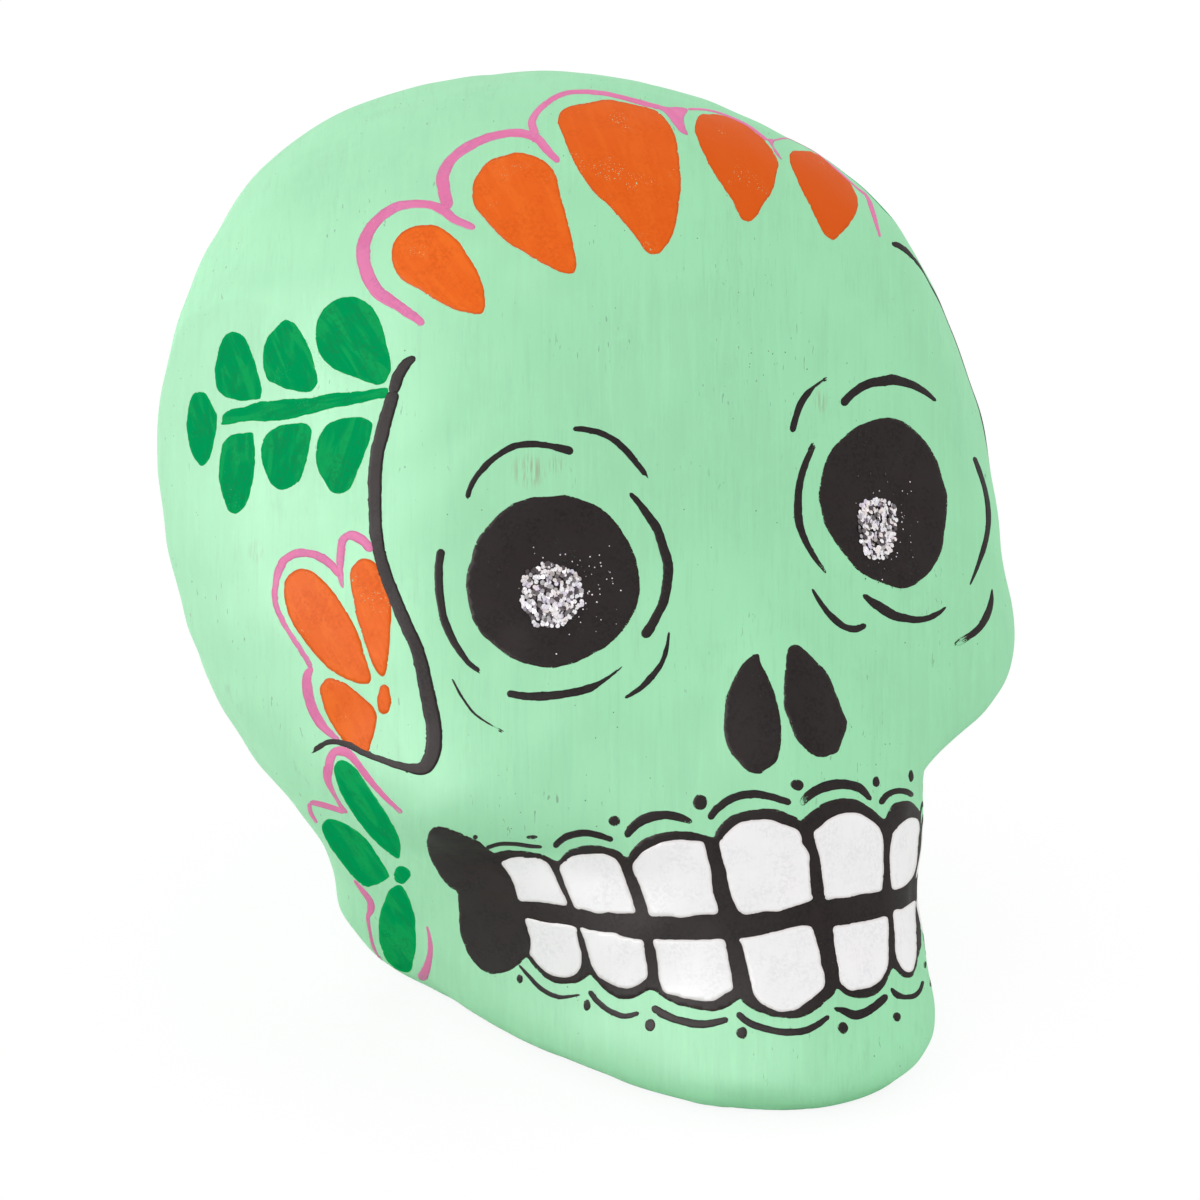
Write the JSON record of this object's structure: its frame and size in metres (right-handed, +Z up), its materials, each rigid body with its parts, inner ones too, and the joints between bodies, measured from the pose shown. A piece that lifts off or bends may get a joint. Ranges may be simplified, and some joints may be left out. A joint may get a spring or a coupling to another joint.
{
  "type": "painted papier-mache skull",
  "caption": "Hand-painted hollow papier-mache skull decoration with a flat base, joined from two moulded halves, with glitter in its painted eyes",
  "frame": {"origin": "middle of the bounding box on the plane that the skull stands on", "axes": "+Z up, the face looks towards -Y, the skull's own right side is -X"},
  "size_m": [0.2162, 0.2294, 0.224],
  "materials": {
    "painted_shell": "matte brushed mint paint over moulded paper pulp",
    "seam_paper": "raw pasted newsprint",
    "base_board": "raw grey-brown board",
    "painted_base": "matte brushed mint paint over paper",
    "black_paint": "satin warm black craft paint, brushed over the mint ground",
    "white_paint": "matte off-white craft paint on the teeth",
    "orange_paint": "matte orange craft paint with brush streaks",
    "green_paint": "matte leaf-green craft paint with brush streaks",
    "pink_paint": "matte pink craft paint, thinning towards the ends of the strokes",
    "glitter": "loose silver and champagne metallised film flakes set in glue"
  },
  "bodies": {
    "root": {"face_shell": "painted_shell", "rear_shell": "painted_shell", "crown_seam_strip": "seam_paper", "right_upper_seam_strip": "seam_paper", "right_lower_seam_strip": "seam_paper", "left_upper_seam_strip": "seam_paper", "left_lower_seam_strip": "seam_paper", "base_board": "base_board", "base_paper": "painted_base", "right_glitter_pupil": "glitter", "left_glitter_pupil": "glitter"}
  },
  "joints": []
}
